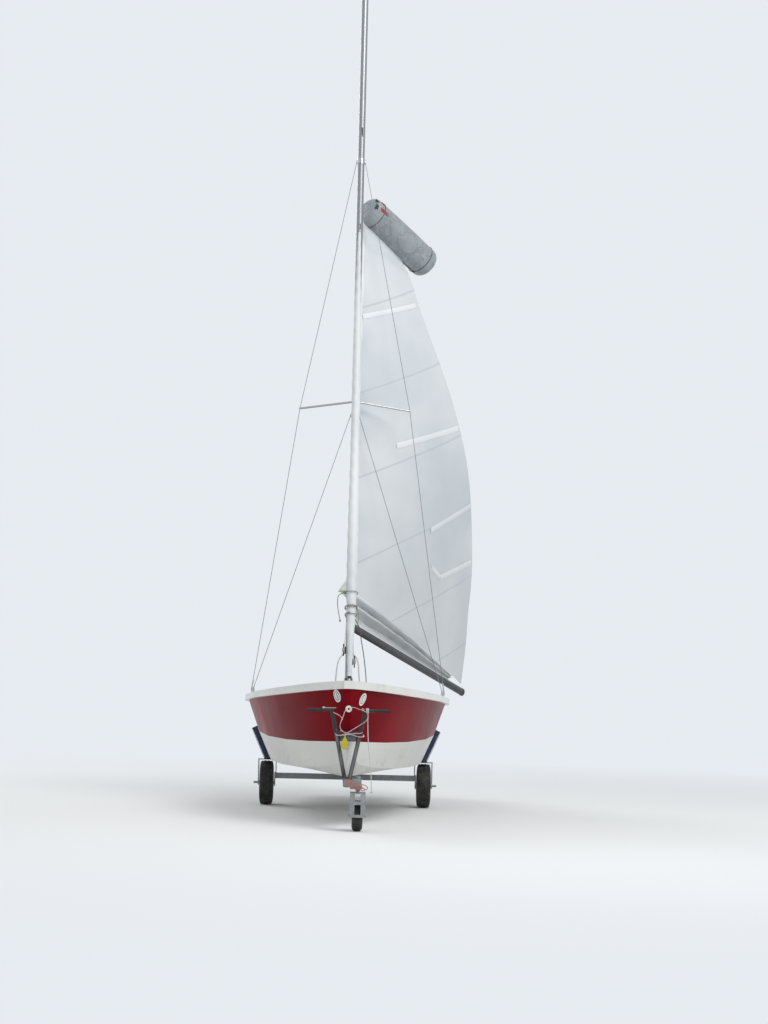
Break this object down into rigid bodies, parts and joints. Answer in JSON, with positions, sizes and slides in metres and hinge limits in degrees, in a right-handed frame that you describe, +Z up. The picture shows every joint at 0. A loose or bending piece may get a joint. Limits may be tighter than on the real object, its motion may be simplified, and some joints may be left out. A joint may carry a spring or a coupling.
{
  "type": "sailing dinghy on a launching trolley",
  "caption": "Two-chine training dinghy with its mast up, jib furled, mainsail part hoisted and boom out, on a launching trolley.",
  "frame": {"origin": "on the ground under the middle of the whole outline, the swung-out sail included", "axes": "+Z up, bow toward -Y, port side toward +X"},
  "size_m": [2.0747, 5.8873, 7.5612],
  "materials": {
    "hull_gelcoat": "glossy red topsides over a white bottom",
    "deck_gelcoat": "white gelcoat",
    "strake": "white extrusion",
    "board": "off-white laminate",
    "wood": "varnished",
    "spar": "anodised",
    "boom_spar": "black anodised",
    "fittings": "stainless",
    "white_fitting": "white moulding",
    "wire": "stainless wire",
    "drum": "black",
    "rope": "white braid",
    "sheet_rope": "yellow-green braid",
    "sailcloth": "white sailcloth",
    "float_cloth": "grey coated cloth",
    "galvanised": "hot-dip galvanised",
    "navy_pad": "navy cover with white edge",
    "chock": "black",
    "handle": "black",
    "bow_pad": "grey-green",
    "tyre": "worn",
    "rim": "pale grey",
    "stock": "satin"
  },
  "bodies": {
    "boat_on_trolley": {"hull": "hull_gelcoat", "deck": "deck_gelcoat", "rubbing_strake": "strake", "centreboard_case": "deck_gelcoat", "centreboard": "board", "thwart": "wood", "mast": "spar", "mast_step": "fittings", "shrouds": "wire", "chainplates": "fittings", "spreaders": "spar", "forestay": "wire", "mast_bands": "fittings", "stem_fitting": "fittings", "furling_drum": "drum", "furled_jib": "sailcloth", "gooseneck": "fittings", "drawbar": "galvanised", "axle_beam": "galvanised", "keel_chocks": "chock", "bilge_pad_port": "navy_pad", "bilge_pad_starboard": "navy_pad", "bilge_supports": "galvanised", "handle_frame": "handle", "bow_pad": "bow_pad", "bow_eye": "white_fitting", "jockey_clamp": "galvanised", "gudgeons": "fittings", "floorboards": "wood", "painter": "rope", "jib_tail": "sheet_rope"},
    "boom": {"boom": "boom_spar", "boom_cap": "drum", "boom_toggle": "fittings", "mainsail": "sailcloth", "gathered_foot": "sailcloth", "head_float": "float_cloth"},
    "wheel_port": {"tyre_port": "tyre", "rim_port": "rim"},
    "wheel_starboard": {"tyre_starboard": "tyre", "rim_starboard": "rim"},
    "jockey_fork": {"jockey_fork": "galvanised"},
    "jockey_wheel": {"jockey_tyre": "tyre", "jockey_rim": "rim"},
    "rudder": {"rudder_stock": "stock", "tiller": "wood"},
    "rudder_blade": {"rudder_blade": "board"}
  },
  "joints": [
    {"name": "boom_swing", "type": "hinge", "parent": "boat_on_trolley", "child": "boom", "pos_m": [-0.127, -1.10108, 1.63], "axis": [0, 0.0314, 0.9995], "range_deg": [-22, 80]},
    {"name": "wheel_port_spin", "type": "hinge", "parent": "boat_on_trolley", "child": "wheel_port", "pos_m": [0.593, 0.258, 0.2], "axis": [1, 0, 0], "continuous": true},
    {"name": "wheel_starboard_spin", "type": "hinge", "parent": "boat_on_trolley", "child": "wheel_starboard", "pos_m": [-0.847, 0.258, 0.2], "axis": [1, 0, 0], "continuous": true},
    {"name": "jockey_swivel", "type": "hinge", "parent": "boat_on_trolley", "child": "jockey_fork", "pos_m": [-0.041, -2.832, 0.306], "axis": [0, 0, 1], "continuous": true},
    {"name": "jockey_spin", "type": "hinge", "parent": "jockey_fork", "child": "jockey_wheel", "pos_m": [-0.041, -2.794, 0.12], "axis": [1, 0, 0], "continuous": true},
    {"name": "rudder_steer", "type": "hinge", "parent": "boat_on_trolley", "child": "rudder", "pos_m": [-0.127, 2.08, 0.6], "axis": [0, 0, 1], "range_deg": [-38, 38]},
    {"name": "blade_lift", "type": "hinge", "parent": "rudder", "child": "rudder_blade", "pos_m": [-0.127, 2.16, 0.6], "axis": [1, 0, 0], "range_deg": [-68, 20]}
  ]
}
